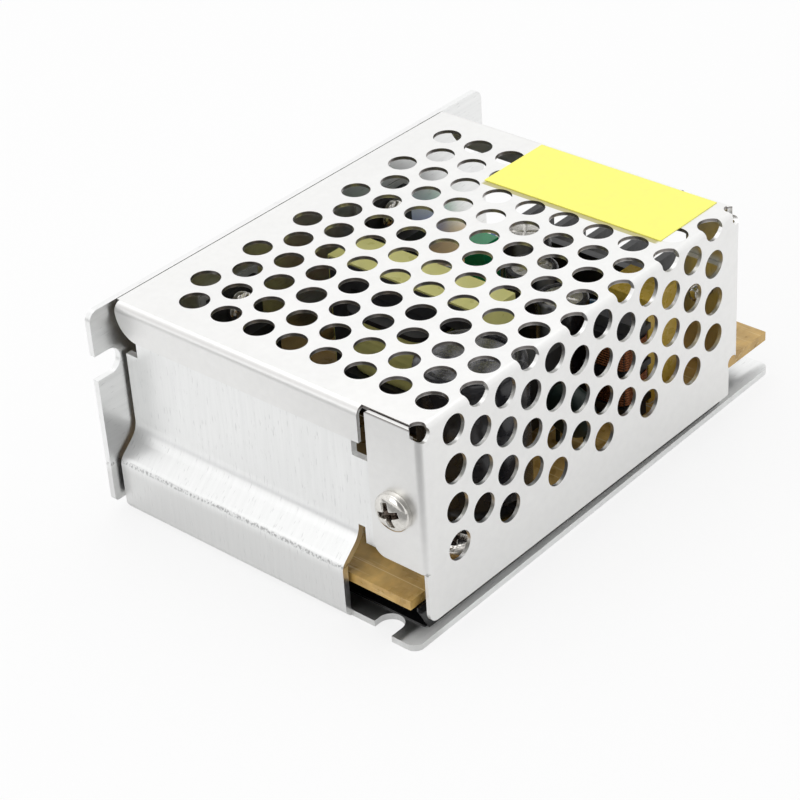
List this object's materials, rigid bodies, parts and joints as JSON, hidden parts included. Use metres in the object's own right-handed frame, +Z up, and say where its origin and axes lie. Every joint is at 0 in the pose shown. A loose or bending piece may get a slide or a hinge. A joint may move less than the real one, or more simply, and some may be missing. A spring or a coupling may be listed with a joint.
{
  "type": "switching power supply",
  "caption": "Small switching power supply: a folded sheet chassis and perforated cover around a circuit board, with five screw terminals on the open end.",
  "frame": {"origin": "centre of the bounding box at the base, on the surface that the case stands on", "axes": "+X along the case towards the terminal end, +Y across it towards the plain side plate, +Z up"},
  "size_m": [0.087, 0.0572, 0.0339],
  "materials": {
    "sheet_aluminium": "satin",
    "plated_steel": "satin",
    "screw_metal": "nickel plated",
    "yellow_sticker": "coated paper film",
    "phenolic_board": "glossy resin",
    "black_film": "smooth",
    "standoff_metal": "nickel plated",
    "black_moulding": "fine texture",
    "contact_metal": "tinned",
    "blue_plastic": "smooth",
    "white_plastic": "smooth",
    "green_lens": "translucent",
    "ferrite": "sintered, matt",
    "yellow_tape": "polyester film",
    "coil_wire": "enamelled copper",
    "black_sleeve": "shrink sleeve",
    "ochre_case": "moulded box",
    "blue_coating": "dipped coating",
    "green_case": "dipped coating",
    "dark_coating": "dipped coating",
    "grey_pad": "soft pad",
    "clear_glass": "clear tube",
    "grey_body": "painted"
  },
  "bodies": {
    "case": {"chassis": "sheet_aluminium", "cover": "plated_steel", "cover_screws": "screw_metal", "label": "yellow_sticker", "circuit_board": "phenolic_board", "insulating_sheet": "black_film", "board_standoffs": "standoff_metal", "board_screws": "screw_metal", "terminal_block": "black_moulding", "terminal_plates": "contact_metal", "trimmer_body": "blue_plastic", "led": "green_lens", "transformer_core": "ferrite", "transformer_tape": "yellow_tape", "transformer_winding": "coil_wire", "transformer_bobbin": "black_moulding", "bulk_capacitor": "black_sleeve", "output_capacitor_1": "black_sleeve", "output_capacitor_2": "black_sleeve", "output_capacitor_3": "black_sleeve", "auxiliary_capacitor": "black_sleeve", "x_capacitor": "ochre_case", "y_capacitor": "blue_coating", "film_capacitor": "green_case", "line_filter_core": "ferrite", "line_filter_winding": "coil_wire", "output_choke_core": "ferrite", "output_choke_winding": "coil_wire", "bridge_rectifier": "black_moulding", "switching_transistor": "black_moulding", "output_rectifier": "black_moulding", "thermal_pads": "grey_pad", "transistor_screws": "screw_metal", "fuse": "clear_glass", "thermistor": "dark_coating", "optocoupler": "black_moulding", "controller_ic": "black_moulding", "snubber_resistor": "grey_body", "diodes": "black_sleeve"},
    "adjuster": {"trimmer_rotor": "white_plastic"},
    "clamp_1": {"terminal_clamp_1": "contact_metal"},
    "screw_1": {"terminal_screw_1": "screw_metal"},
    "clamp_2": {"terminal_clamp_2": "contact_metal"},
    "screw_2": {"terminal_screw_2": "screw_metal"},
    "clamp_3": {"terminal_clamp_3": "contact_metal"},
    "screw_3": {"terminal_screw_3": "screw_metal"},
    "clamp_4": {"terminal_clamp_4": "contact_metal"},
    "screw_4": {"terminal_screw_4": "screw_metal"},
    "clamp_5": {"terminal_clamp_5": "contact_metal"},
    "screw_5": {"terminal_screw_5": "screw_metal"}
  },
  "joints": [
    {"name": "adjuster_turn", "type": "hinge", "parent": "case", "child": "adjuster", "pos_m": [0.0355, 0.0189, 0.01032], "axis": [0, 0, 1], "range_deg": [-135, 135]},
    {"name": "clamp_1_lift", "type": "slide", "parent": "case", "child": "clamp_1", "axis": [0, 0, 1], "range_m": [0, 0.002]},
    {"name": "screw_1_turn", "type": "hinge", "parent": "clamp_1", "child": "screw_1", "pos_m": [0.03595, -0.0141, 0.01204], "axis": [0, 0, 1], "range_deg": [0, 1440]},
    {"name": "clamp_2_lift", "type": "slide", "parent": "case", "child": "clamp_2", "axis": [0, 0, 1], "range_m": [0, 0.002]},
    {"name": "screw_2_turn", "type": "hinge", "parent": "clamp_2", "child": "screw_2", "pos_m": [0.03595, -0.0077, 0.01204], "axis": [0, 0, 1], "range_deg": [0, 1440]},
    {"name": "clamp_3_lift", "type": "slide", "parent": "case", "child": "clamp_3", "axis": [0, 0, 1], "range_m": [0, 0.002]},
    {"name": "screw_3_turn", "type": "hinge", "parent": "clamp_3", "child": "screw_3", "pos_m": [0.03595, -0.0013, 0.01204], "axis": [0, 0, 1], "range_deg": [0, 1440]},
    {"name": "clamp_4_lift", "type": "slide", "parent": "case", "child": "clamp_4", "axis": [0, 0, 1], "range_m": [0, 0.002]},
    {"name": "screw_4_turn", "type": "hinge", "parent": "clamp_4", "child": "screw_4", "pos_m": [0.03595, 0.0051, 0.01204], "axis": [0, 0, 1], "range_deg": [0, 1440]},
    {"name": "clamp_5_lift", "type": "slide", "parent": "case", "child": "clamp_5", "axis": [0, 0, 1], "range_m": [0, 0.002]},
    {"name": "screw_5_turn", "type": "hinge", "parent": "clamp_5", "child": "screw_5", "pos_m": [0.03595, 0.0115, 0.01204], "axis": [0, 0, 1], "range_deg": [0, 1440]}
  ]
}
